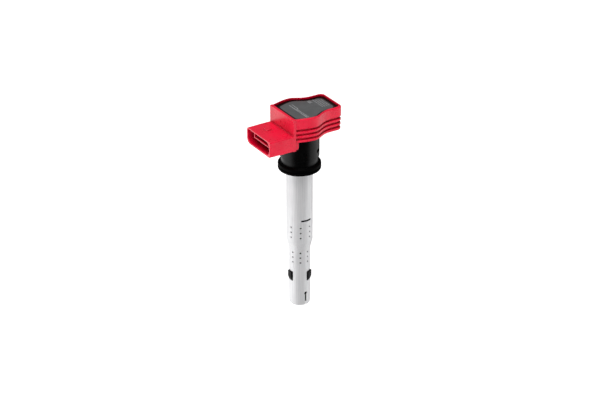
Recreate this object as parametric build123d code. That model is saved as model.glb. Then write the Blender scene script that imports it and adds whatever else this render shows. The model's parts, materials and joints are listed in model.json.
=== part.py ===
from build123d import *
import os
from math import cos, radians, sin, sqrt

# Plug-top ignition coil. Origin on the tube's axis at the seat plane, which is the underside of the
# rubber flange. +Z points up along the tube towards the head, and the harness socket opens towards -X.
# Millimetres throughout.

GAP = 0.05              # assembly gap between pieces that slide together

# Head
RIM_TOP = 55.8          # top of the head's rim
CASE_FRONT = -15.0      # where the body meets the connector's front plate
FRONT_HALF = 18.9       # half width at the front
BULGE_X, BULGE_HALF = 2.1, 22.6
WAIST_X, WAIST_HALF = 21.4, 16.2
TAIL_X = 33.5
TAIL_R = 4.5
BAND_BOTTOM = 46.4      # the smooth band reaches from here to the rim
RIB_PITCH = 4.1
GROOVE_HEIGHT = 1.8
GROOVE_DEPTH = 1.6
RIB_COUNT = 3
CASE_BOTTOM = BAND_BOTTOM - RIB_COUNT * RIB_PITCH   # underside of the ribbed body
DRAFT_STEP = 0.1        # each rib down is this much further in
RIB_ROUND = 0.65        # rounding of the ribs' level edges
RIM_ROUND = 1.1         # rounding of the rim's outer edge
RIM_WALL = 1.6
RECESS_R = 3.2          # front corners of the recess
RECESS_FLOOR = 47.6     # bottom of the resin, top of the electronics space
SPACE_WALL = 4.4
SPACE_FLOOR = 35.3
POST_R = 1.0
POSTS = [(-9.6, 9.6), (-9.6, -9.6), (24.5, 9.0), (24.5, -9.0)]

# Top cover and resin
COVER_TOP = 54.2
COVER_BOTTOM = 52.4
COVER_GAP = 3.1         # groove between the cover and the rim
COVER_EDGE_R = 0.4
RESIN_TOP = 54.1        # the resin fills the groove to just below the cover's top

# Connector
PLATE_FRONT = -17.7
PLATE_HALF = 19.0
PLATE_BOTTOM = 26.9
PLATE_SIDE_R, PLATE_TOP_R = 0.4, 0.5
SOCKET_MOUTH = -40.8
SOCKET_TOP = 41.2
SOCKET_BOTTOM = 26.9
SOCKET_HALF = 19.0
SOCKET_DRAFT = 0.5      # the mouth is this much narrower on each side than the root
SOCKET_STRAIGHT = -27.2  # the socket's side is straight from the plate to here
SOCKET_WALL = 1.1
SOCKET_END = -18.8      # bottom of the socket
SOCKET_R_NEAR, SOCKET_R_FAR_TOP, SOCKET_R_FAR_LOW = 1.2, 2.0, 4.5   # outside corner radii
SOCKET_R_INNER = 5.0
RAIL_Z = 35.6           # underside of the key rail
RAIL_T = 0.8
RAIL_Y = 7.2
ROOT_BACK = -12.0
ROOT_HALF, ROOT_R = 18.0, 2.0
NIB_X, NIB_Y = -28.6, 4.6
NIB_R, NIB_HEIGHT = 2.6, 1.0   # half its side, and how far it stands up
NIB_SINK = 0.5          # how far it reaches into the roof
NIB_CORNER_R, NIB_TOP_R = 1.2, 0.7

# Terminals
BLADE_TIP, BLADE_Z = -36.0, 31.6
BLADE_W, BLADE_T, BLADE_CHAMFER = 2.4, 0.8, 0.3
BLADE_PITCH = 7.0
LEG_X = -18.1           # outer face of the upright leg, inside the socket's end wall
FOOT_END = -8.6

# Electronics
BOARD_X = (-11.2, 26.2)
BOARD_HALF = 11.0
BOARD_Z, BOARD_T = 36.8, 1.2
SPREADER_X, SPREADER_HALF, SPREADER_T = (11.5, 26.0), 8.0, 1.2
TAB_X, MOULDING_X, TRANSISTOR_HALF = (12.5, 25.0), (14.0, 23.0), 5.0
TAB_T, MOULDING_T = 1.2, 2.8
CHIP_X = (-3.0, 2.0)
CHIP_HALF, CHIP_T, CHIP_LIFT = 2.0, 1.5, 0.2
CHIP_PITCH, CHIP_LEG_W, CHIP_LEG_REACH, CHIP_LEG_T = 1.27, 0.4, 1.0, 0.9
CHIP_LEGS, CHIP_LEG_INSET = 4, 0.4   # legs on each side, and the first one's distance in from the end
CAPACITOR_HALF = (0.8, 1.6, 0.7)
CAPACITORS = [(6.5, 5.0), (6.5, 0.0), (6.5, -5.0), (-7.0, 5.5), (-7.0, -5.5)]

# Neck and seal
NECK_R, NECK_BOTTOM = 17.1, 12.7
COLLAR_R, COLLAR_BOTTOM = 16.0, 6.9
SPIGOT_R, SPIGOT_BOTTOM = 14.2, 1.6
SHELL_INNER_R, POCKET_FLOOR = 15.0, 13.0
SLEEVE_R, SLEEVE_TOP = 12.2, 36.5
NECK_BORE_R = 10.75
WINDOW_Z, WINDOW_HEIGHT = 18.8, 3.2
NECK_WINDOW_ANGLE, NECK_WINDOW_HALF = 48, 14
SPIGOT_CHAMFER = 0.4
SEAL_R = 18.75

# Tube
TUBE_R, TUBE_WALL = 11.5, 0.5
TUBE_SWAGE_R, TUBE_TOP = 11.2, 8.2
CONE_TOP, CONE_BOTTOM = -68.9, -77.7
TUBE_LOW_R, TUBE_END = 9.3, -132.7
ROLL, ROLL_IN = 1.3, 0.45   # length of the rolled-in end, and how far it turns in
CONE_SHIFT = 0.08       # the cone's inner corners sit this much lower than its outer ones
HOLE_R, HOLE_ANGLE, HOLE_COLUMNS = 0.8, 18, 8
UPPER_ROWS = [-53.9, -58.9, -63.8]
LOWER_ROWS = [-79.8, -84.6, -89.4]
SLOT_Z, SLOT_LENGTH, SLOT_HEIGHT = -47.0, 10.0, 1.8
LUG_WINDOW = (-108.7, -99.2)
LUG_WINDOW_WIDTH, LUG_WINDOW_R = 6.1, 0.6
LUG_PLAY = 0.15         # clearance round each lug in its window
LUG_ANGLES = [180, 60, -60]
SLIT_WIDTH, KEY_R, KEY_Z = 1.6, 1.45, -120.8
KEY_TURN = 4            # the keyhole slit is this many degrees round from -Y

# Boot
BOOT_R, BOOT_TOP, BOOT_END = 8.7, -78.4, -129.6
BOOT_SLEEVE_END = -88.2
PLUG_BORE_R, PLUG_BORE_TOP, PLUG_BORE_END = 4.9, -107.0, -128.8
MOUTH_FLARE = 1.8       # the bore's mouth is this much larger in radius
GUIDE_R = 4.5
LUG_R = 10.4
LUG_KNEE = 0.4          # share of the lug's height that slopes

# Coil stack, from the outside in
CASE_R, CASE_WALL, COIL_TOP = 10.65, 0.8, 33.0
CASE_FLOOR = (-66.0, -63.6)
NOSE_R, NOSE_BORE, NOSE_END = 6.0, 3.3, -88.0
SHIELD = (9.05, 9.75)
SHIELD_Z = (-58.0, 24.0)
SHIELD_SLIT = 1.0
PRIMARY_TUBE = (6.7, 7.4)
PRIMARY_FLANGE_R = 8.95
PRIMARY_Z = (-60.0, 27.0)
PRIMARY_FLANGE_T = 1.0
PRIMARY_WIRE_R = 8.6
SECONDARY_TUBE = (4.0, 4.7)
SECONDARY_FLANGE_R = 6.6
SECONDARY_Z = (-62.0, 28.4)
CHAMBERS = 12
CHAMBER_WALL = 0.8
SECONDARY_WIRE_R = 6.3
CORE_R, CORE_Z, STRIPS = 3.6, (-56.0, 22.0), 9
CORE_FILL = 0.96        # the stack's height as a share of the round's diameter
MAGNET_R, MAGNET_LENGTH = 3.5, 4.0
PAD_LENGTH = 1.5
LEAD_R, LEAD_RADIUS, LEAD_RISE = 0.4, 8.0, 0.8
HV_HEAD_R, HV_HEAD_T, HV_STEM_R = 6.0, 1.0, 1.5
HV_LEAD_RADIUS, HV_LEAD_R = 5.6, 0.3
RESISTOR_R, RESISTOR_Z, RESISTOR_CHAMFER = 2.9, (-83.5, -69.2), 0.3

# Spring contact
SPRING_R, SPRING_WIRE_R, SPRING_PITCH = 2.35, 0.35, 2.2
BOSS_R = 1.7            # bosses that centre the spring's ends
UPPER_BOSS, LOWER_BOSS = 2.5, 2.0   # their lengths
CAP_R, CAP_TOP, CAP_BOTTOM, CAP_EDGE_R = 3.9, -101.2, -106.5, 0.5
DISH_MOUTH_R, DISH_R, DISH_FLOOR_R = 3.3, 2.9, 2.0
DISH_LIP, DISH_DEPTH = 0.4, 1.6


def disc(radius, low, high):
    """Cylinder on the tube's axis between two heights."""
    return Pos(0, 0, (low + high) / 2) * Cylinder(radius, high - low)


def ring(inner, outer, low, high):
    """Tube on the axis between two heights."""
    return disc(outer, low, high) - disc(inner, low - 1, high + 1)


def block(x, y, z):
    """Box from its (low, high) pairs."""
    middle = Pos((x[0] + x[1]) / 2, (y[0] + y[1]) / 2, (z[0] + z[1]) / 2)
    return middle * Box(x[1] - x[0], y[1] - y[0], z[1] - z[0])


def turned(*points):
    """Solid of revolution about Z from a closed (radius, height) outline."""
    outline = Polyline(*[(r, 0, z) for r, z in points], close=True)
    return revolve(make_face(outline), Axis.Z)


def head_outline(inset, front_x):
    """Plan outline of the head, symmetric about the XZ plane: bulged sides, waist and squared tail."""
    tail_x = TAIL_X - inset
    front = (front_x, FRONT_HALF - inset)
    bulge = (BULGE_X, BULGE_HALF - inset)
    waist = (WAIST_X, WAIST_HALF - inset)
    side = Spline(front, bulge, waist, tangents=((1, 0.3), (1, 0), (1, 0)))
    corner = (tail_x, WAIST_HALF - inset)
    straight = Line(waist, (corner[0] - TAIL_R, corner[1]))
    arc = RadiusArc(straight @ 1, (tail_x, corner[1] - TAIL_R), TAIL_R)
    end = Line(arc @ 1, (tail_x, 0))
    half = side + straight + arc + end
    closing = Line(front, (front_x, -front[1]))
    return make_face(half + mirror(half, Plane.XZ) + closing)


def head_layer(inset, low, high, front_x=CASE_FRONT):
    """Slice of the head between two heights, inside its outline by `inset`."""
    return Pos(0, 0, low) * extrude(head_outline(inset, front_x), high - low)


def head_case():
    """Ribbed body: a smooth band above three ribs, open at the front, with posts for the board."""
    body = head_layer(0, BAND_BOTTOM, RIM_TOP)
    for i in range(RIB_COUNT):
        top = BAND_BOTTOM - i * RIB_PITCH
        low = top - RIB_PITCH
        inset = (i + 1) * DRAFT_STEP
        body += head_layer(GROOVE_DEPTH + inset, top - GROOVE_HEIGHT, top)
        body += head_layer(inset, low, top - GROOVE_HEIGHT)
    body = rounded_ribs(body)
    body -= head_recess(0, RECESS_FLOOR, RIM_TOP + 1, CASE_FRONT - 0.3)
    body -= head_layer(SPACE_WALL, SPACE_FLOOR, RECESS_FLOOR, CASE_FRONT - 1)
    body -= disc(SLEEVE_R + GAP, CASE_BOTTOM - 1, SPACE_FLOOR + 1)
    for x, y in POSTS:
        body += Pos(x, y, 0) * disc(POST_R, SPACE_FLOOR - 0.5, BOARD_Z)
    return body


def rounded_ribs(body):
    """Rounds the level outer edges: the rim's by its own radius, and all those below it alike."""
    body = fillet([e for e in level_edges(body) if e.center().Z < RIM_TOP - 0.1], RIB_ROUND)
    return fillet(level_edges(body).group_by(Axis.Z)[-1], RIM_ROUND)


def level_edges(body):
    """Level edges of the body, apart from those on its open front."""
    return body.edges().filter_by(Plane.XY).filter_by(lambda edge: edge.center().X > CASE_FRONT + 0.1)


def head_recess(inset, low, high, front_x=None):
    """Slice of the recess inside the rim, clear of its wall by `inset`, with rounded front corners."""
    outline = head_outline(RIM_WALL + inset, CASE_FRONT + inset if front_x is None else front_x)
    outline = fillet(outline.vertices().group_by(Axis.X)[0], RECESS_R)
    return Pos(0, 0, low) * extrude(outline, high - low)


def socket_section(x, half, inset, near_radius, far_top_radius, far_low_radius):
    """Socket outline at one X: one corner radius on the near (-Y) side, two on the far (+Y) side."""
    low, high = SOCKET_BOTTOM + inset, SOCKET_TOP - inset
    near, far = -half + inset, half - inset
    a, b, c = near_radius, far_top_radius, far_low_radius
    top = Line((x, near + a, high), (x, far - b, high))
    top_far = ThreePointArc(top @ 1, corner_middle(x, far - b, high - b, b, 45), (x, far, high - b))
    far_side = Line(top_far @ 1, (x, far, low + c))
    low_far = ThreePointArc(far_side @ 1, corner_middle(x, far - c, low + c, c, -45), (x, far - c, low))
    bottom = Line(low_far @ 1, (x, near + a, low))
    low_near = ThreePointArc(bottom @ 1, corner_middle(x, near + a, low + a, a, -135), (x, near, low + a))
    near_side = Line(low_near @ 1, (x, near, high - a))
    top_near = ThreePointArc(near_side @ 1, corner_middle(x, near + a, high - a, a, 135), top @ 0)
    return make_face(top + top_far + far_side + low_far + bottom + low_near + near_side + top_near)


def corner_middle(x, y, z, radius, angle):
    """Middle point of a corner arc about (y, z) in the plane at x."""
    return (x, y + radius * cos(radians(angle)), z + radius * sin(radians(angle)))


def connector_housing(terminals):
    """Front plate, harness socket with key rail and latch nib, and the root that carries the blades."""
    radii = (SOCKET_R_NEAR, SOCKET_R_FAR_TOP, SOCKET_R_FAR_LOW)
    root = socket_section(PLATE_FRONT + 0.5, SOCKET_HALF, 0, *radii)
    knee = socket_section(SOCKET_STRAIGHT, SOCKET_HALF, 0, *radii)
    mouth = socket_section(SOCKET_MOUTH, SOCKET_HALF - SOCKET_DRAFT, 0, *radii)
    body = loft([root, knee]) + loft([knee, mouth])
    hollow_half = SOCKET_HALF - SOCKET_DRAFT
    inner_radii = (SOCKET_R_INNER, SOCKET_R_FAR_TOP, SOCKET_R_INNER)
    inner = socket_section(SOCKET_END, hollow_half, SOCKET_WALL, *inner_radii)
    body -= extrude(inner, SOCKET_MOUTH - SOCKET_END - 1, dir=(1, 0, 0))
    body += front_plate()
    body += key_rail(hollow_half)
    body += latch_nib()
    body -= disc(NECK_R + GAP, SOCKET_BOTTOM - 1, CASE_BOTTOM + GAP)
    for blade in terminals.values():
        body -= blade
    return body


def front_plate():
    """Plate that closes the head, and the root below it that reaches under the ribbed body."""
    plate = block((PLATE_FRONT, CASE_FRONT), (-PLATE_HALF, PLATE_HALF), (PLATE_BOTTOM, RIM_TOP))
    plate = fillet(plate.edges().filter_by(Axis.Z), PLATE_SIDE_R)
    plate = fillet(plate.edges().filter_by(Axis.Y).group_by(Axis.X)[0].group_by(Axis.Z)[-1], PLATE_TOP_R)
    low = block((CASE_FRONT, ROOT_BACK), (-ROOT_HALF, ROOT_HALF), (PLATE_BOTTOM + 0.5, CASE_BOTTOM))
    low = fillet(low.edges().filter_by(Axis.Y).group_by(Axis.X)[-1].group_by(Axis.Z)[0], ROOT_R)
    return plate + low


def key_rail(hollow_half):
    """Thin shelf and upright under the socket's roof, which keep a wrong plug out."""
    x = (SOCKET_MOUTH + 0.4, SOCKET_END + 0.5)
    near = -hollow_half + SOCKET_WALL / 2
    roof = SOCKET_TOP - SOCKET_WALL / 2
    shelf = block(x, (near, RAIL_Y), (RAIL_Z, RAIL_Z + RAIL_T))
    upright = block(x, (RAIL_Y - RAIL_T, RAIL_Y), (RAIL_Z, roof))
    return shelf + upright


def latch_nib():
    """Low wedge on the socket's roof that the harness plug's latch snaps over."""
    x, y = (NIB_X - NIB_R, NIB_X + NIB_R), (NIB_Y - NIB_R, NIB_Y + NIB_R)
    nib = block(x, y, (SOCKET_TOP - NIB_SINK, SOCKET_TOP + NIB_HEIGHT))
    nib = fillet(nib.edges().filter_by(Axis.Z), NIB_CORNER_R)
    return fillet(nib.faces().sort_by(Axis.Z)[-1].edges(), NIB_TOP_R)


def terminal(y):
    """Bent blade: flat in the socket, up inside its end wall, and a foot on the board."""
    z0, z1 = BLADE_Z - BLADE_T / 2, BLADE_Z + BLADE_T / 2
    side = (y - BLADE_W / 2, y + BLADE_W / 2)
    board_top = BOARD_Z + BOARD_T
    blade = block((BLADE_TIP, LEG_X + BLADE_T), side, (z0, z1))
    blade = chamfer(blade.edges().filter_by(Axis.Y).group_by(Axis.X)[0], BLADE_CHAMFER)
    leg = block((LEG_X, LEG_X + BLADE_T), side, (z0, board_top + BLADE_T))
    foot = block((LEG_X, FOOT_END), side, (board_top, board_top + BLADE_T))
    return blade + leg + foot


def terminal_set():
    """The four terminals side by side, by name."""
    names = ["battery_terminal", "ground_terminal", "trigger_terminal", "sensor_ground_terminal"]
    return {name: terminal((i - 1.5) * BLADE_PITCH) for i, name in enumerate(names)}


def top_cover():
    """Plate set into the rim, with a softened upper edge."""
    plate = head_recess(COVER_GAP, COVER_BOTTOM, COVER_TOP)
    return fillet(plate.faces().sort_by(Axis.Z)[-1].edges(), COVER_EDGE_R)


def potting_resin():
    """Resin over the electronics, up round the cover, with the pocket that the cover sits in."""
    resin = head_recess(GAP, RECESS_FLOOR, RESIN_TOP)
    return resin - head_recess(COVER_GAP - GAP, COVER_BOTTOM, RESIN_TOP + 1)


def circuit_board():
    """Driver board with holes for the two primary leads."""
    board = block(BOARD_X, (-BOARD_HALF, BOARD_HALF), (BOARD_Z, BOARD_Z + BOARD_T))
    for y in (-LEAD_RADIUS, LEAD_RADIUS):
        board -= Pos(0, y, 0) * disc(LEAD_R + GAP, BOARD_Z - 1, BOARD_Z + BOARD_T + 1)
    return board


def electronics():
    """Parts on the board: heat spreader, transistor, driver chip with its legs, and capacitors."""
    top = BOARD_Z + BOARD_T
    tab_top = top + SPREADER_T
    spreader = block(SPREADER_X, (-SPREADER_HALF, SPREADER_HALF), (top, tab_top))
    moulding_low = tab_top + TAB_T
    width = (-TRANSISTOR_HALF, TRANSISTOR_HALF)
    tab = block(TAB_X, width, (tab_top, moulding_low))
    moulding = block(MOULDING_X, width, (moulding_low, moulding_low + MOULDING_T))
    chip_low = top + CHIP_LIFT
    chip = [block(CHIP_X, (-CHIP_HALF, CHIP_HALF), (chip_low, chip_low + CHIP_T))]
    for side in (-1, 1):
        y = sorted((side * CHIP_HALF, side * (CHIP_HALF + CHIP_LEG_REACH)))
        for i in range(CHIP_LEGS):
            x = CHIP_X[0] + CHIP_LEG_INSET + CHIP_PITCH * i
            chip.append(block((x, x + CHIP_LEG_W), y, (top, top + CHIP_LEG_T)))
    half_x, half_y, half_z = CAPACITOR_HALF
    capacitors = []
    for x, y in CAPACITORS:
        body = block((x - half_x, x + half_x), (y - half_y, y + half_y), (top, top + 2 * half_z))
        capacitors.append(body)
    return {
        "heat_spreader": spreader,
        "power_transistor": tab + moulding,
        "driver_chip": Compound(children=chip),
        "chip_capacitors": Compound(children=capacitors),
    }


def neck_housing():
    """Black neck: outer shell, inner sleeve up into the head, stepped foot for the seal, wall windows."""
    neck = disc(NECK_R, NECK_BOTTOM, CASE_BOTTOM)
    neck += disc(COLLAR_R, COLLAR_BOTTOM, NECK_BOTTOM)
    neck += disc(SPIGOT_R, SPIGOT_BOTTOM, COLLAR_BOTTOM)
    neck = chamfer(neck.edges().filter_by(GeomType.CIRCLE).sort_by(Axis.Z)[0], SPIGOT_CHAMFER)
    neck -= ring(SLEEVE_R, SHELL_INNER_R, POCKET_FLOOR, CASE_BOTTOM + 1)
    neck += disc(SLEEVE_R, POCKET_FLOOR, SLEEVE_TOP)
    neck -= disc(NECK_BORE_R, SPIGOT_BOTTOM - 1, SLEEVE_TOP + 1)
    neck -= disc(TUBE_SWAGE_R + GAP, SPIGOT_BOTTOM - 1, TUBE_TOP + GAP)
    width = 2 * NECK_R * sin(radians(NECK_WINDOW_HALF))
    window = Pos(NECK_R, 0, WINDOW_Z) * Box(2 * (NECK_R - SHELL_INNER_R) + 2, width, WINDOW_HEIGHT)
    for side in (-1, 1):
        neck -= Rot(0, 0, side * NECK_WINDOW_ANGLE) * window
    return neck


def seal_ring():
    """Rubber flange: a flat foot, a groove round its rim, a bead on top and a lip up to the collar."""
    foot_bore, bore = TUBE_SWAGE_R + GAP, SPIGOT_R + GAP
    step = SPIGOT_BOTTOM - GAP
    top = COLLAR_BOTTOM - GAP
    foot = [(foot_bore, 0.4), (TUBE_R + GAP, 0), (SEAL_R - 0.3, 0), (SEAL_R, 0.3)]
    groove = [(SEAL_R, 2.3), (SEAL_R - 0.7, 2.7), (SEAL_R - 0.7, 3.1), (SEAL_R, 3.5)]
    bead = [(SEAL_R, 5.4), (SEAL_R - 0.4, 6.0), (SEAL_R - 0.9, 6.1), (SEAL_R - 1.2, 5.8)]
    lip = [(SEAL_R - 1.7, 5.9), (COLLAR_R + 0.2, 6.6), (COLLAR_R - 0.1, top)]
    inside = [(bore, top), (bore, step), (foot_bore, step)]
    return turned(*foot, *groove, *bead, *lip, *inside)


def tube_blank():
    """Stepped steel tube with a swaged top and a rolled-in end."""
    outer = [
        (TUBE_SWAGE_R, TUBE_TOP), (TUBE_SWAGE_R, 0.3), (TUBE_R, 0), (TUBE_R, CONE_TOP),
        (TUBE_LOW_R, CONE_BOTTOM), (TUBE_LOW_R, TUBE_END + ROLL), (TUBE_LOW_R - ROLL_IN, TUBE_END),
    ]
    swage, wide, low = TUBE_SWAGE_R - TUBE_WALL, TUBE_R - TUBE_WALL, TUBE_LOW_R - TUBE_WALL
    inner = [
        (low - ROLL_IN, TUBE_END), (low, TUBE_END + ROLL), (low, CONE_BOTTOM - CONE_SHIFT),
        (wide, CONE_TOP - CONE_SHIFT), (wide, 0), (swage, 0.3), (swage, TUBE_TOP),
    ]
    return turned(*outer, *inner)


def outer_tube():
    """The blank with its pierced features: holes, slot, lug windows and keyhole slit."""
    tube = tube_blank()
    reach = 2 * TUBE_R + 2
    for z in UPPER_ROWS + LOWER_ROWS:
        for i in range(HOLE_COLUMNS // 2):
            angle = HOLE_ANGLE + i * 360 / HOLE_COLUMNS
            tube -= Pos(0, 0, z) * Rot(0, 0, angle) * Rot(0, 90, 0) * Cylinder(HOLE_R, reach)
    front = Plane((0, 0, 0), x_dir=(1, 0, 0), z_dir=(0, -1, 0))
    slot = front * Pos(0, SLOT_Z) * SlotOverall(SLOT_LENGTH, SLOT_HEIGHT)
    tube -= extrude(slot, reach)
    low, high = LUG_WINDOW
    for angle in LUG_ANGLES:
        window = block((0, TUBE_R + 1), (-LUG_WINDOW_WIDTH / 2, LUG_WINDOW_WIDTH / 2), (low, high))
        window = fillet(window.edges().filter_by(Axis.X), LUG_WINDOW_R)
        tube -= Rot(0, 0, angle) * window
    slit = block((-SLIT_WIDTH / 2, SLIT_WIDTH / 2), (-reach / 2, 0), (TUBE_END - 1, KEY_Z))
    key = Pos(0, -reach / 4, KEY_Z) * Rot(90, 0, 0) * Cylinder(KEY_R, reach / 2)
    return tube - Rot(0, 0, KEY_TURN) * (slit + key)


def plug_boot():
    """Silicone boot: sleeve over the case nose, guide for the spring, plug bore, and three lugs."""
    boot = disc(BOOT_R, BOOT_END, BOOT_TOP)
    low, high = LUG_WINDOW
    width = LUG_WINDOW_WIDTH - 2 * LUG_PLAY
    for angle in LUG_ANGLES:
        lug = Rot(0, 0, angle) * lug_solid(width, low + LUG_PLAY, high - LUG_PLAY)
        boot += lug
    boot -= disc(NOSE_R + GAP, BOOT_SLEEVE_END, BOOT_TOP + 1)
    boot -= disc(GUIDE_R, PLUG_BORE_TOP, BOOT_SLEEVE_END)
    boot -= disc(PLUG_BORE_R, PLUG_BORE_END - 1, PLUG_BORE_TOP)
    mouth_r = PLUG_BORE_R + MOUTH_FLARE
    below = BOOT_END - 1
    mouth = [(mouth_r, below), (mouth_r, BOOT_END), (PLUG_BORE_R, PLUG_BORE_END)]
    return boot - turned((0, below), *mouth, (0, PLUG_BORE_END))


def lug_solid(width, low, high):
    """Lug on the +X side: full height at the top, sloping in to the tube's surface at the bottom."""
    knee = low + LUG_KNEE * (high - low)
    wedge = turned((0, low), (TUBE_LOW_R, low), (LUG_R, knee), (LUG_R, high), (0, high))
    return wedge & block((BOOT_R - 1, LUG_R + 1), (-width / 2, width / 2), (low, high))


def coil_case():
    """Insulating case: long tube round the windings, floor with the stud's hole, and the nose."""
    case = ring(CASE_R - CASE_WALL, CASE_R, CASE_FLOOR[0], COIL_TOP)
    case += disc(CASE_R - CASE_WALL, *CASE_FLOOR)
    case += disc(NOSE_R, NOSE_END, CASE_FLOOR[0])
    case -= disc(NOSE_BORE, NOSE_END - 1, CASE_FLOOR[0])
    return case - disc(HV_STEM_R + GAP, CASE_FLOOR[0] - 1, CASE_FLOOR[1] + 1)


def flux_shield():
    """Rolled steel sleeve with a lengthwise slit, so that it is no shorted turn."""
    low, high = SHIELD_Z
    slit = block((0, SHIELD[1] + 1), (-SHIELD_SLIT / 2, SHIELD_SLIT / 2), (low - 1, high + 1))
    return ring(*SHIELD, low, high) - slit


def primary_bobbin():
    """Spool with a flange at each end."""
    low, high = PRIMARY_Z
    spool = ring(*PRIMARY_TUBE, low, high)
    spool += ring(PRIMARY_TUBE[0], PRIMARY_FLANGE_R, low, low + PRIMARY_FLANGE_T)
    return spool + ring(PRIMARY_TUBE[0], PRIMARY_FLANGE_R, high - PRIMARY_FLANGE_T, high)


def primary_winding():
    """The wound wire as one sleeve between the flanges."""
    low, high = PRIMARY_Z
    return ring(PRIMARY_TUBE[1] + GAP, PRIMARY_WIRE_R, low + PRIMARY_FLANGE_T, high - PRIMARY_FLANGE_T)


def chamber_walls():
    """Lower height of each chamber wall of the secondary bobbin."""
    low, high = SECONDARY_Z
    pitch = (high - low - CHAMBER_WALL) / CHAMBERS
    return [low + i * pitch for i in range(CHAMBERS + 1)]


def secondary_bobbin():
    """Chambered spool, with a hole in its lowest wall for the high-voltage lead."""
    spool = ring(*SECONDARY_TUBE, *SECONDARY_Z)
    for z in chamber_walls():
        spool += ring(SECONDARY_TUBE[0], SECONDARY_FLANGE_R, z, z + CHAMBER_WALL)
    low = SECONDARY_Z[0]
    return spool - Pos(HV_LEAD_RADIUS, 0, 0) * disc(HV_LEAD_R + GAP, low - 1, low + CHAMBER_WALL)


def secondary_winding():
    """One ring of fine wire in each chamber."""
    walls = chamber_walls()
    rings = []
    for low, high in zip(walls, walls[1:]):
        rings.append(ring(SECONDARY_TUBE[1] + GAP, SECONDARY_WIRE_R, low + CHAMBER_WALL, high))
    return Compound(children=rings)


def core_laminations():
    """Flat steel strips of stepped width, stacked to a nearly round core."""
    thickness = 2 * CORE_R * CORE_FILL / STRIPS
    strips = []
    for i in range(STRIPS):
        low = (i - STRIPS / 2) * thickness
        edge = max(abs(low), abs(low + thickness))
        half = sqrt(CORE_R ** 2 - edge ** 2)
        strips.append(block((-half, half), (low, low + thickness), CORE_Z))
    return Compound(children=strips)


def core_ends():
    """Bias magnets and rubber pads at both ends of the core."""
    low, high = CORE_Z
    bottom, top = low - MAGNET_LENGTH, high + MAGNET_LENGTH
    pads = [disc(MAGNET_R, top, top + PAD_LENGTH), disc(MAGNET_R, bottom - PAD_LENGTH, bottom)]
    return {
        "upper_magnet": disc(MAGNET_R, high, top),
        "lower_magnet": disc(MAGNET_R, bottom, low),
        "core_pads": Compound(children=pads),
    }


def primary_leads():
    """Two wires from the primary's top flange up through the board."""
    top = BOARD_Z + BOARD_T + LEAD_RISE
    wires = [Pos(0, y, 0) * disc(LEAD_R, PRIMARY_Z[1], top) for y in (-LEAD_RADIUS, LEAD_RADIUS)]
    return Compound(children=wires)


def hv_parts():
    """Stud through the case floor, the wire down to it, and the resistor below it."""
    floor_low, floor_top = CASE_FLOOR
    res_low, res_top = RESISTOR_Z
    stud = disc(HV_HEAD_R, floor_top, floor_top + HV_HEAD_T)
    stud += disc(HV_STEM_R, res_top, floor_top)
    stud += disc(RESISTOR_R, res_top, res_top + HV_HEAD_T)
    lead = Pos(HV_LEAD_RADIUS, 0, 0) * disc(HV_LEAD_R, floor_top + HV_HEAD_T, SECONDARY_Z[0] + CHAMBER_WALL)
    resistor = disc(RESISTOR_R, res_low, res_top)
    resistor = chamfer(resistor.edges().filter_by(GeomType.CIRCLE), RESISTOR_CHAMFER)
    resistor += disc(BOSS_R, res_low - UPPER_BOSS, res_low)
    return {"hv_terminal": stud, "hv_lead": lead, "suppression_resistor": resistor}


def contact_spring():
    """Round-wire compression spring between the resistor and the cap."""
    low = CAP_TOP + SPRING_WIRE_R
    high = RESISTOR_Z[0] - SPRING_WIRE_R
    path = Pos(0, 0, low) * Helix(SPRING_PITCH, high - low, SPRING_R)
    wire = Plane(origin=path @ 0, z_dir=path % 0) * Circle(SPRING_WIRE_R)
    return sweep(wire, path=path, is_frenet=True)


def contact_cap():
    """Brass cup: boss inside the spring above, dished seat for the plug's terminal below."""
    cap = disc(CAP_R, CAP_BOTTOM, CAP_TOP)
    cap = fillet(cap.edges().filter_by(GeomType.CIRCLE), CAP_EDGE_R)
    cap += disc(BOSS_R, CAP_TOP - CAP_EDGE_R, CAP_TOP + LOWER_BOSS)
    below, floor = CAP_BOTTOM - 1, CAP_BOTTOM + DISH_DEPTH
    side = [(DISH_MOUTH_R, below), (DISH_R, CAP_BOTTOM + DISH_LIP), (DISH_FLOOR_R, floor)]
    return cap - turned((0, below), *side, (0, floor))


def build():
    """Every node, by name."""
    terminals = terminal_set()
    nodes = {
        "head_case": head_case(),
        "connector_housing": connector_housing(terminals),
        "top_cover": top_cover(),
        "potting_resin": potting_resin(),
        "circuit_board": circuit_board(),
        "neck_housing": neck_housing(),
        "seal_ring": seal_ring(),
        "outer_tube": outer_tube(),
        "plug_boot": plug_boot(),
        "coil_case": coil_case(),
        "flux_shield": flux_shield(),
        "primary_bobbin": primary_bobbin(),
        "primary_winding": primary_winding(),
        "secondary_bobbin": secondary_bobbin(),
        "secondary_winding": secondary_winding(),
        "core_laminations": core_laminations(),
        "primary_leads": primary_leads(),
        "contact_spring": contact_spring(),
        "contact_cap": contact_cap(),
    }
    nodes.update(terminals)
    nodes.update(electronics())
    nodes.update(core_ends())
    nodes.update(hv_parts())
    return nodes


os.makedirs("parts", exist_ok=True)
for name, shape in build().items():
    export_step(shape, f"parts/{name}.step")
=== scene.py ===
import json
import math
import random

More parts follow.
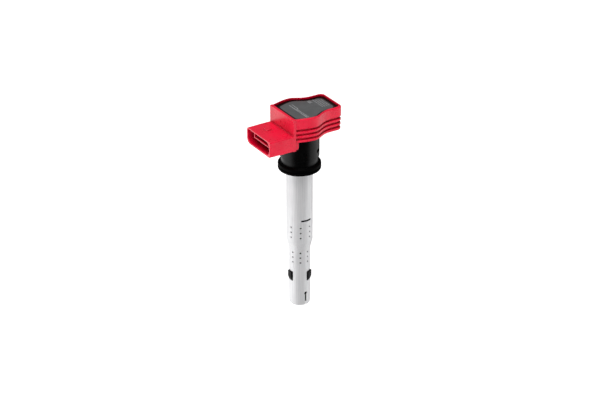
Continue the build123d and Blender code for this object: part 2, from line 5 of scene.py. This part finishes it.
import bmesh
import bpy
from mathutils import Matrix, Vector


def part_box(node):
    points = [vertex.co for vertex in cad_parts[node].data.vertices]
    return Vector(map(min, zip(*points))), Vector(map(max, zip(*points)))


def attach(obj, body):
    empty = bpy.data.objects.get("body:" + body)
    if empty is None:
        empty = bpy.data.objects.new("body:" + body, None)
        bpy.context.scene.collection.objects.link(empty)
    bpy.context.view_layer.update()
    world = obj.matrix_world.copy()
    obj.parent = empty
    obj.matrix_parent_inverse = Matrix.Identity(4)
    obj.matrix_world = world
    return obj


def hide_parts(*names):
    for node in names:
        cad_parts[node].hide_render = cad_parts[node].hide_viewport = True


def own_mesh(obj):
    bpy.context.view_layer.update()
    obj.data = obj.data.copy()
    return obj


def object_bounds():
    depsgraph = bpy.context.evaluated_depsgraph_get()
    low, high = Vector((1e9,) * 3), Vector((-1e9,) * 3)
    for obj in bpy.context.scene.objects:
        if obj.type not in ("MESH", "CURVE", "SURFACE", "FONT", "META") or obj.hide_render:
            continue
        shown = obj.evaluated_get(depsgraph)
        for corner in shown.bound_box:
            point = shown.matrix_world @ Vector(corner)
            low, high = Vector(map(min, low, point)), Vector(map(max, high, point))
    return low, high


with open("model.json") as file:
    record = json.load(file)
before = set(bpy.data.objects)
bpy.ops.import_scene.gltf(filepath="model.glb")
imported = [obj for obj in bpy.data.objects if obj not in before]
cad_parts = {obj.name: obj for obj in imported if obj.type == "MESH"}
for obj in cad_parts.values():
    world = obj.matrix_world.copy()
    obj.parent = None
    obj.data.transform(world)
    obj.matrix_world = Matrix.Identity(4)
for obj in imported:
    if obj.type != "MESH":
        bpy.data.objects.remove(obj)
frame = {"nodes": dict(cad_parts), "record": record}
CAD_LOW, CAD_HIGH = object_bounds()

MM = 0.001
COIL = "coil"

# Camera: heading and pitch in degrees, distance and the point it looks at in metres
CAMERA_HEADING, CAMERA_PITCH, CAMERA_DISTANCE = -32.17, 27.72, 1.6
CAMERA_LENS, SENSOR = 110.9, 36.0
CAMERA_TARGET = (0.00037, -0.00024, -0.03185)

# Plastics and rubbers: base colour, colour of the painted shade in hollows and grooves (also the darker
# mottle), edge colour for wear and a painted edge highlight (0 to 255), roughness, grain depth in mm, grain
# scale, edge radius in mm, coat, gloss
MOULDED = {
    "red_plastic": ((226, 4, 52), (150, 0, 18), (244, 112, 130), 0.28, 0.006, 1500, 0.35, 0.25, 0.5),
    "cover_plastic": ((84, 85, 86), (20, 20, 22), (124, 125, 127), 0.42, 0.018, 3200, 0.25, 0.0, 0.5),
    "resin": ((2, 2, 2), (2, 2, 2), (12, 12, 13), 0.30, 0.05, 160, 0.2, 0.0, 0.15),
    "black_plastic": ((2, 2, 2), (3, 3, 3), (40, 40, 42), 0.30, 0.008, 1800, 0.3, 0.0, 0.3),
    "seal_rubber": ((2, 2, 2), (2, 2, 2), (14, 14, 15), 0.55, 0.015, 2600, 0.3, 0.0, 0.04),
    "boot_silicone": ((10, 10, 11), (2, 2, 2), (40, 40, 42), 0.5, 0.02, 1400, 0.4, 0.0, 0.2),
    "bobbin_plastic": ((196, 184, 152), (110, 98, 70), (226, 218, 194), 0.4, 0.01, 1700, 0.3, 0.0, 0.5),
    "package_plastic": ((28, 28, 30), (10, 10, 10), (70, 70, 72), 0.55, 0.02, 4000, 0.1, 0.0, 0.5),
    "ceramic_chip": ((176, 150, 112), (96, 80, 58), (210, 190, 156), 0.5, 0.01, 3000, 0.1, 0.0, 0.5),
    "ceramic_resistor": ((206, 200, 186), (120, 114, 102), (236, 232, 224), 0.55, 0.02, 2200, 0.2, 0.0, 0.5),
    "magnet": ((74, 74, 78), (26, 26, 28), (150, 150, 154), 0.4, 0.02, 2500, 0.3, 0.0, 0.5),
    "print": ((162, 162, 164), (120, 120, 122), (168, 168, 170), 0.6, 0.01, 5000, 0.05, 0.0, 0.5),
}
# Metals: base and streak colour (0 to 255), roughness, stretch of the drawn lines, line depth in mm,
# edge radius in mm, metallic
METALS = {
    "tube_steel": ((246, 246, 247), (224, 224, 226), 0.52, (2600, 2600, 30), 0.003, 0.12, 0.6),
    "terminal_metal": ((224, 214, 186), (186, 172, 136), 0.25, (60, 2400, 2400), 0.004, 0.15, 1.0),
    "aluminium_plate": ((216, 217, 220), (180, 181, 184), 0.35, (60, 2400, 2400), 0.004, 0.15, 1.0),
    "shield_steel": ((150, 150, 156), (112, 112, 118), 0.38, (2000, 2000, 30), 0.004, 0.15, 1.0),
    "core_steel": ((140, 142, 148), (96, 98, 104), 0.42, (1800, 5200, 30), 0.004, 0.15, 1.0),
    "brass": ((216, 178, 96), (176, 138, 64), 0.24, (2400, 2400, 120), 0.004, 0.15, 1.0),
    "spring_steel": ((196, 196, 200), (140, 140, 146), 0.26, (400, 400, 3000), 0.004, 0.15, 1.0),
}
# Both reaches below set how far the painted shade of hollows and of creases looks around.
SHADE_REACH, CREASE_REACH = 16.0, 3.0    # how far a moulded surface looks for shade and for a crease, in mm
NODE_SAMPLES = 6

# Cards of light around the object: azimuth, elevation, inner and outer angle, brightness
CARDS = [
    (-135, -20, 34, 66, 1.1),
    (70, -20, 24, 46, 0.8),
    (150, 35, 25, 75, 0.14),
    (-60, 80, 30, 80, 0.45),
]
CARD_BASE = 0.03
# Lights: azimuth, elevation, distance and size in metres, power, and whether glossy surfaces mirror them
LIGHTS = {
    "key": (-50, 68, 1.3, 0.7, 13, True),
    "fill": (-20, 20, 1.5, 0.8, 3, False),
}
FLOOR_HALF, FLOOR_DROP, FLOOR_GLOW = 3.0, 0.02, 0.55    # metres, mm below the tube's end, strength

# The seal's fixed radii and the spring's ends, in mm
SEAL_FOOT_BORE, SEAL_BORE, SEAL_STEP, COLLAR_R = 11.3, 14.25, 1.55, 16.0
SPRING_LOW, SPRING_HIGH = -101.2, -83.5


def linear(red, green, blue):
    """Scene colour for a screen colour given as 0 to 255."""
    def one(value):
        value /= 255
        return value / 12.92 if value <= 0.04045 else ((value + 0.055) / 1.055) ** 2.4
    return (one(red), one(green), one(blue), 1.0)


class Look:
    """One procedural material: a principled shader and the nodes that drive it."""

    def __init__(self, name, roughness=0.5, metallic=0.0):
        self.material = bpy.data.materials.new(name)
        self.material.use_nodes = True
        self.tree = self.material.node_tree
        self.shader = self.tree.nodes["Principled BSDF"]
        self.set(Roughness=roughness, Metallic=metallic)
        self.place = self.node("ShaderNodeTexCoord").outputs["Object"]

    def put(self, socket, value):
        if isinstance(value, bpy.types.NodeSocket):
            self.tree.links.new(value, socket)
        else:
            socket.default_value = value

    def node(self, kind, inputs=None, **settings):
        made = self.tree.nodes.new(kind)
        for key, value in settings.items():
            setattr(made, key, value)
        for socket, value in (inputs or {}).items():
            self.put(made.inputs[socket], value)
        return made

    def set(self, **inputs):
        """Sets principled inputs; an underscore in a key stands for a space."""
        for key, value in inputs.items():
            self.put(self.shader.inputs[key.replace("_", " ")], value)

    def math(self, operation, a, b=0.0):
        return self.node("ShaderNodeMath", {0: a, 1: b}, operation=operation).outputs[0]

    def scaled(self, x, y, z):
        """The object's own coordinates, stretched along the axes."""
        return self.node("ShaderNodeMapping", {"Vector": self.place, "Scale": (x, y, z)}).outputs[0]

    def noise(self, scale, detail=3.0, place=None, rough=0.55):
        inputs = {"Vector": place or self.place, "Scale": scale, "Detail": detail, "Roughness": rough}
        return self.node("ShaderNodeTexNoise", inputs).outputs[0]

    def remap(self, value, low, high, to_low=0.0, to_high=1.0):
        inputs = {0: value, 1: low, 2: high, 3: to_low, 4: to_high}
        return self.node("ShaderNodeMapRange", inputs, clamp=True).outputs[0]

    def mix(self, factor, a, b):
        return self.node("ShaderNodeMix", {0: factor, 6: a, 7: b}, data_type="RGBA").outputs[2]

    def rounded(self, radius):
        """Normals that round every hard edge by this radius in millimetres."""
        return self.node("ShaderNodeBevel", {"Radius": radius * MM}, samples=NODE_SAMPLES).outputs[0]

    def edges(self, rounded):
        """1 on a hard edge, 0 on a flat or smooth face."""
        flat = self.node("ShaderNodeNewGeometry").outputs["Normal"]
        dot = self.node("ShaderNodeVectorMath", {0: rounded, 1: flat}, operation="DOT_PRODUCT")
        return self.remap(dot.outputs["Value"], 0.995, 0.80)

    def openness(self, distance):
        """1 in the open, 0 deep in a groove."""
        inputs = {"Distance": distance * MM}
        return self.node("ShaderNodeAmbientOcclusion", inputs, samples=NODE_SAMPLES).outputs["AO"]

    def bump(self, height, depth, normal=None):
        """Surface relief of this depth in millimetres, on top of a normal."""
        inputs = {"Height": height, "Distance": depth * MM, "Strength": 1.0}
        if normal is not None:
            inputs["Normal"] = normal
        return self.node("ShaderNodeBump", inputs).outputs[0]


def moulded(name, base, shade_and_mottle, wear_and_highlight, roughness, grain, grain_scale, edge_radius, coat, gloss):
    """Moulded plastic or rubber: mottled colour, painted shade in hollows and grooves (darker colour, duller
    reflections), edges paler for wear and a painted edge highlight, fine grain.
    """
    look = Look(name)
    rounded = look.rounded(edge_radius)
    mottled = look.mix(look.remap(look.noise(90), 0.35, 0.7), base, look.mix(0.22, base, shade_and_mottle))
    # Painted shade: the colour darkens towards the shade colour wherever other surfaces close in within
    # SHADE_REACH.
    hollow_shade = look.mix(look.remap(look.openness(SHADE_REACH), 0.12, 0.5), shade_and_mottle, mottled)
    crease = look.openness(CREASE_REACH)
    # Painted shade in creases: the colour darkens further within CREASE_REACH.
    crease_shade = look.mix(look.remap(crease, 0.35, 0.9), shade_and_mottle, hollow_shade)
    # Paler edges: wear, and a painted highlight along hard edges.
    edge_wear_and_highlight = look.math("MULTIPLY", look.edges(rounded), look.remap(look.noise(700), 0.35, 0.75, 0.25, 1.0))
    smudge = look.remap(look.noise(160, 5), 0.3, 0.75, roughness - 0.05, roughness + 0.09)
    # Reflections are also weakened in creases, as painted shade.
    look.set(Base_Color=look.mix(edge_wear_and_highlight, crease_shade, wear_and_highlight), Roughness=smudge, Coat_Weight=coat,
             Coat_Roughness=0.12, Specular_IOR_Level=look.remap(crease, 0.45, 0.95, 0.1 * gloss, gloss),
             Normal=look.bump(look.noise(grain_scale, 2), grain, rounded))
    return look


def metal(name, base, streak, roughness, stretch, grain, edge_radius, metallic):
    """Metal with fine drawn lines along one axis, patchy roughness and brighter edges."""
    look = Look(name, metallic=metallic)
    rounded = look.rounded(edge_radius)
    lines = look.noise(1.0, 4, look.scaled(*stretch))
    patches = look.noise(60, 4)
    tone = look.mix(look.remap(lines, 0.3, 0.7), base, streak)
    tone = look.mix(look.math("MULTIPLY", look.remap(patches, 0.45, 0.75), 0.4), tone, streak)
    bright = tuple(min(1.0, c * 1.15) for c in base[:3]) + (1.0,)
    uneven = look.math("ADD", lines, patches)
    look.set(Base_Color=look.mix(look.edges(rounded), tone, bright),
             Roughness=look.remap(uneven, 0.7, 1.3, roughness - 0.06, roughness + 0.1),
             Normal=look.bump(lines, grain, rounded))
    return look


def wound_copper():
    """Enamelled copper wire wound in fine level turns."""
    look = Look("copper_wire", metallic=1.0)
    waves = look.node("ShaderNodeTexWave", {"Vector": look.place, "Scale": 900.0, "Distortion": 0.6},
                      bands_direction="Z").outputs[1]
    # The darker bands between the turns are painted shade.
    turn_gap_shade, light = linear(120, 52, 22), linear(226, 140, 84)
    look.set(Base_Color=look.mix(waves, turn_gap_shade, light),
             Roughness=look.remap(look.noise(300), 0.3, 0.7, 0.22, 0.4),
             Normal=look.bump(waves, 0.12))
    return look


def circuit_green():
    """Solder-resist green with fine lighter tracks and glass weave."""
    look = Look("board")
    weave = look.node("ShaderNodeTexChecker", {"Vector": look.place, "Scale": 2500.0}).outputs[1]
    cells = look.node("ShaderNodeTexVoronoi", {"Vector": look.scaled(1, 1, 0), "Scale": 280.0},
                      distance="CHEBYCHEV", feature="F1").outputs[0]
    tracks = look.remap(cells, 0.42, 0.46)
    look.set(Base_Color=look.mix(tracks, linear(20, 88, 52), linear(44, 124, 74)),
             Roughness=look.remap(look.noise(200), 0.3, 0.7, 0.25, 0.45),
             Normal=look.bump(look.math("ADD", tracks, look.math("MULTIPLY", weave, 0.2)), 0.03))
    return look


def make_looks():
    """Every finish, by the record's material slot; "print" is for the marks on the cover."""
    made = {}
    for name, (base, shade_and_mottle, wear_and_highlight, *rest) in MOULDED.items():
        made[name] = moulded(name, linear(*base), linear(*shade_and_mottle), linear(*wear_and_highlight), *rest)
    for name, (base, streak, *rest) in METALS.items():
        made[name] = metal(name, linear(*base), linear(*streak), *rest)
    made["copper_wire"] = wound_copper()
    made["board"] = circuit_green()
    return made


looks = make_looks()


def dress(obj, slot):
    """Gives an object the finish of a material slot."""
    obj.data.materials.clear()
    obj.data.materials.append(looks[slot].material)


for part in frame["record"]["subparts"]:
    dress(frame["nodes"][part["node"]], part["material_slot"])


def add_piece(name, mesh, slot, body, replaced=None, finish=None):
    """Puts a finished mesh into the scene as a piece of a CAD body."""
    obj = bpy.data.objects.new(name, mesh)
    bpy.context.scene.collection.objects.link(obj)
    dress(obj, finish or slot)
    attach(obj, body)
    if replaced:
        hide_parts(replaced)
    return obj


def mesh_from(name, points, faces, smooth=True):
    """Mesh of points in mm, with every face turned outwards."""
    mesh = bpy.data.meshes.new(name)
    mesh.from_pydata([tuple(c * MM for c in p) for p in points], [], faces)
    mesh.validate()
    for polygon in mesh.polygons:
        polygon.use_smooth = smooth
    fix = bmesh.new()
    fix.from_mesh(mesh)
    bmesh.ops.recalc_face_normals(fix, faces=fix.faces)
    fix.to_mesh(mesh)
    fix.free()
    return mesh


def softened(outline, rounds=2, cut=0.2):
    """Closed outline with its corners cut again and again."""
    for _ in range(rounds):
        ends = zip(outline, outline[1:] + outline[:1])
        outline = [
            tuple(p + (q - p) * share for p, q in zip(a, b))
            for a, b in ends for share in (cut, 1 - cut)
        ]
    return outline


def lathe(outline, steps=160):
    """Points and faces of a closed (radius, height) outline turned about the tube's axis, in mm."""
    points, faces, count = [], [], len(outline)
    for i in range(steps):
        angle = 2 * math.pi * i / steps
        points += [(r * math.cos(angle), r * math.sin(angle), z) for r, z in outline]
        for j in range(count):
            k, n, after = (j + 1) % count, i * count, (i + 1) % steps * count
            faces.append((n + j, after + j, after + k, n + k))
    return points, faces


def make_seal():
    """Rubber flange with soft corners: rounded foot, groove, bead, and a lip up to the collar."""
    low, high = (c.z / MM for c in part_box("seal_ring"))
    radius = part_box("seal_ring")[1].x / MM
    foot = [
        (SEAL_FOOT_BORE, 0.4), (SEAL_FOOT_BORE + 0.5, 0), (radius - 0.6, 0), (radius - 0.15, 0.7),
        (radius, 1.3),
    ]
    groove = [(radius, 2.3), (radius - 0.7, 2.7), (radius - 0.7, 3.1), (radius, 3.5)]
    bead = [(radius, 5.5), (radius - 0.4, 6.1), (radius - 0.9, 6.2), (radius - 1.3, 5.7), (radius - 1.8, 6.0)]
    lip = [(COLLAR_R + 0.2, high - low - 0.25), (COLLAR_R - 0.1, high - low)]
    inside = [(SEAL_BORE, high - low), (SEAL_BORE, SEAL_STEP), (SEAL_FOOT_BORE, SEAL_STEP)]
    outline = [(r, low + z) for r, z in foot + groove + bead + lip + inside]
    mesh = mesh_from("seal_ring_soft", *lathe(softened(outline)))
    add_piece("seal_ring_soft", mesh, "seal_rubber", COIL, "seal_ring")


def lug_shape(angle):
    """Corner points and faces of one lug, which fills its window in the tube."""
    width, low, high = 2.85, -108.5, -99.4
    knee, inner, skin, outer = low + 3.6, 7.6, 9.3, 10.4
    side = [(inner, low), (skin, low), (outer, knee), (outer, high), (inner, high)]
    cos, sin = math.cos(math.radians(angle)), math.sin(math.radians(angle))
    points = [(x * cos - y * sin, x * sin + y * cos, z) for y in (-width, width) for x, z in side]
    count = len(side)
    faces = [tuple(range(count)), tuple(range(2 * count - 1, count - 1, -1))]
    faces += [(i, i + count, (i + 1) % count + count, (i + 1) % count) for i in range(count)]
    return points, faces


def make_boot():
    """Silicone boot: sleeve over the case's nose, guide for the spring, plug bore, and three lugs."""
    top, end = -78.4, -129.6
    guide_top, guide_end, mouth_top = -88.2, -107.0, -128.6
    sleeve, guide, bore, mouth, outer = 6.05, 4.5, 4.9, 6.4, 8.7
    outline = [
        (sleeve, top), (sleeve, guide_top), (guide, guide_top), (guide, guide_end), (bore, guide_end),
        (bore, mouth_top), (mouth, end), (outer - 0.3, end), (outer, end + 0.5), (outer, top - 0.5),
        (outer - 0.3, top),
    ]
    points, faces = lathe(outline, 128)
    for angle in (180, 60, -60):
        more, sides = lug_shape(angle)
        faces += [tuple(len(points) + i for i in face) for face in sides]
        points += more
    mesh = mesh_from("plug_boot_soft", points, faces)
    boot = add_piece("plug_boot_soft", mesh, "boot_silicone", COIL, "plug_boot")
    remesh = boot.modifiers.new("skin", "REMESH")
    remesh.mode, remesh.voxel_size, remesh.use_smooth_shade = "VOXEL", 0.33 * MM, True
    smooth = boot.modifiers.new("soften", "SMOOTH")
    smooth.factor, smooth.iterations = 0.5, 3


def make_spring():
    """Coil spring with closed ends, from SPRING_LOW up to SPRING_HIGH."""
    wire, radius, low, high = 0.35, 2.35, SPRING_LOW, SPRING_HIGH
    closed, active, per_turn, round_steps = 1.25, 6.0, 40, 12
    turns = 2 * closed + active
    closed_rise = 2.1 * wire * closed
    active_rise = high - low - 2 * wire - 2 * closed_rise
    points, faces = [], []
    count = int(turns * per_turn) + 1

    def height(turn):
        if turn < closed:
            return closed_rise * turn / closed
        if turn > closed + active:
            return closed_rise + active_rise + closed_rise * (turn - closed - active) / closed
        return closed_rise + active_rise * (turn - closed) / active

    for i in range(count):
        turn = i / per_turn
        angle = 2 * math.pi * turn
        centre = low + wire + height(turn)
        for j in range(round_steps):
            roll = 2 * math.pi * j / round_steps
            r = radius + wire * math.cos(roll)
            points.append((r * math.cos(angle), r * math.sin(angle), centre + wire * math.sin(roll)))
        if i:
            for j in range(round_steps):
                k, n = (j + 1) % round_steps, (i - 1) * round_steps
                faces.append((n + j, n + k, n + round_steps + k, n + round_steps + j))
    faces.append(tuple(range(round_steps)))
    last = (count - 1) * round_steps
    faces.append(tuple(last + j for j in range(round_steps)))
    mesh = mesh_from("contact_spring_coil", points, faces)
    spring = add_piece("contact_spring_coil", mesh, "spring_steel", COIL, "contact_spring")
    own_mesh(spring)


def make_marks():
    """Raised pale marks on the cover: rows of plain dashes in place of any print."""
    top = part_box("top_cover")[1].z / MM
    draw, points, faces = random.Random(7), [], []

    def dash(x, y, along_x, along_y):
        bottom, lid = top - 0.02, top + 0.05
        n = len(points)
        for z, inset in ((bottom, 0.0), (lid, 0.04)):
            half_x, half_y = along_x / 2 - inset, along_y / 2 - inset
            points.extend([(x - half_x, y - half_y, z), (x + half_x, y - half_y, z),
                           (x + half_x, y + half_y, z), (x - half_x, y + half_y, z)])
        faces.append((n + 4, n + 5, n + 6, n + 7))
        faces.append((n + 3, n + 2, n + 1, n))
        faces.extend((n + i, n + (i + 1) % 4, n + 4 + (i + 1) % 4, n + 4 + i) for i in range(4))

    def row(x, start, end, height, gap=0.35, shortest=0.5, longest=1.3):
        y = start
        while y < end - shortest:
            length = min(draw.uniform(shortest, longest), end - y)
            dash(x, y + length / 2, height, length)
            y += length + gap

    row(-2.6, -16.4, 12.4, 0.75)
    row(-1.2, -16.6, 2.6, 0.6, 0.25)
    row(-0.1, 2.4, 12.8, 0.6, 0.25)
    for i in range(4):
        row(14.5 + 0.75 * i, 6.3, 11.3, 0.45, 0.3, 0.3, 0.9)
        row(20.0 + 2.1 * i, -5.5, 11.0 - 1.2 * i, 0.55, 0.5, 0.6, 1.8)
    mesh = mesh_from("cover_marks", points, faces, smooth=False)
    add_piece("cover_marks", mesh, "cover_plastic", COIL, finish="print")


make_seal()
make_boot()
make_spring()
make_marks()


def heading(azimuth, elevation):
    """Unit vector from the object, by azimuth (0 is -Y, 90 is +X) and elevation in degrees."""
    a, e = math.radians(azimuth), math.radians(elevation)
    return Vector((math.sin(a) * math.cos(e), -math.cos(a) * math.cos(e), math.sin(e)))


def make_world():
    """Soft white cards to the left, right, back and top, dim elsewhere. The camera itself sees white."""
    world = bpy.data.worlds.new("studio")
    bpy.context.scene.world = world
    world.use_nodes = True
    tree = world.node_tree
    background = tree.nodes["Background"]
    background.inputs["Color"].default_value = (1.0, 1.0, 1.0, 1.0)
    direction = tree.nodes.new("ShaderNodeTexCoord").outputs["Generated"]
    total = None
    for azimuth, elevation, inner, outer, brightness in CARDS:
        dot = tree.nodes.new("ShaderNodeVectorMath")
        dot.operation = "DOT_PRODUCT"
        tree.links.new(direction, dot.inputs[0])
        dot.inputs[1].default_value = heading(azimuth, elevation)
        fade = tree.nodes.new("ShaderNodeMapRange")
        fade.interpolation_type = "SMOOTHSTEP"
        values = (math.cos(math.radians(outer)), math.cos(math.radians(inner)), 0.0, brightness)
        for i, value in enumerate(values, 1):
            fade.inputs[i].default_value = value
        tree.links.new(dot.outputs["Value"], fade.inputs[0])
        if total is None:
            total = fade.outputs[0]
        else:
            brightest = tree.nodes.new("ShaderNodeMath")
            brightest.operation = "MAXIMUM"
            tree.links.new(total, brightest.inputs[0])
            tree.links.new(fade.outputs[0], brightest.inputs[1])
            total = brightest.outputs[0]
    lifted = tree.nodes.new("ShaderNodeMath")
    lifted.operation = "ADD"
    lifted.inputs[1].default_value = CARD_BASE
    tree.links.new(total, lifted.inputs[0])
    seen = tree.nodes.new("ShaderNodeLightPath").outputs["Is Camera Ray"]
    shown = tree.nodes.new("ShaderNodeMix")
    tree.links.new(seen, shown.inputs[0])
    tree.links.new(lifted.outputs[0], shown.inputs[2])
    shown.inputs[3].default_value = 1.0
    tree.links.new(shown.outputs[0], background.inputs["Strength"])


def make_floor():
    """Pale floor under the tube's end. It glows a little, like a lit sweep, and is clear from below."""
    half, level = FLOOR_HALF, CAD_LOW.z - FLOOR_DROP * MM
    mesh = bpy.data.meshes.new("floor")
    corners = [(-half, -half, level), (half, -half, level), (half, half, level), (-half, half, level)]
    mesh.from_pydata(corners, [], [(0, 1, 2, 3)])
    floor = bpy.data.objects.new("floor", mesh)
    bpy.context.scene.collection.objects.link(floor)
    floor.visible_glossy = False
    floor.visible_shadow = False
    look = Look("floor", roughness=0.9)
    grain = look.noise(300, 3)
    look.set(Base_Color=look.mix(grain, linear(244, 244, 243), linear(250, 250, 250)),
             Emission_Color=(1.0, 1.0, 1.0, 1.0), Emission_Strength=FLOOR_GLOW)
    clear = look.node("ShaderNodeBsdfTransparent").outputs[0]
    behind = look.node("ShaderNodeNewGeometry").outputs["Backfacing"]
    mixed = look.node("ShaderNodeMixShader", {0: behind, 1: look.shader.outputs[0], 2: clear})
    look.tree.links.new(mixed.outputs[0], look.tree.nodes["Material Output"].inputs["Surface"])
    mesh.materials.append(look.material)


def add_light(name, azimuth, elevation, distance, size, power, mirrored):
    """Square area light that faces the origin."""
    data = bpy.data.lights.new(name, "AREA")
    data.shape, data.size, data.energy = "SQUARE", size, power
    light = bpy.data.objects.new(name, data)
    towards = heading(azimuth, elevation)
    light.location = towards * distance
    light.visible_glossy = mirrored
    light.rotation_mode = "QUATERNION"
    light.rotation_quaternion = towards.to_track_quat("Z", "Y")
    bpy.context.scene.collection.objects.link(light)


def make_camera():
    """Camera at the chosen heading, looking at its target with +Z up."""
    back = heading(CAMERA_HEADING, CAMERA_PITCH)
    data = bpy.data.cameras.new("camera")
    data.lens, data.sensor_width = CAMERA_LENS, SENSOR
    camera = bpy.data.objects.new("camera", data)
    camera.location = Vector(CAMERA_TARGET) + back * CAMERA_DISTANCE
    camera.rotation_mode = "QUATERNION"
    camera.rotation_quaternion = (-back).to_track_quat("-Z", "Y")
    bpy.context.scene.collection.objects.link(camera)
    bpy.context.scene.camera = camera


make_world()
make_floor()
for light_name, values in LIGHTS.items():
    add_light(light_name, *values)
make_camera()
bpy.context.scene.view_settings.view_transform = "Standard"
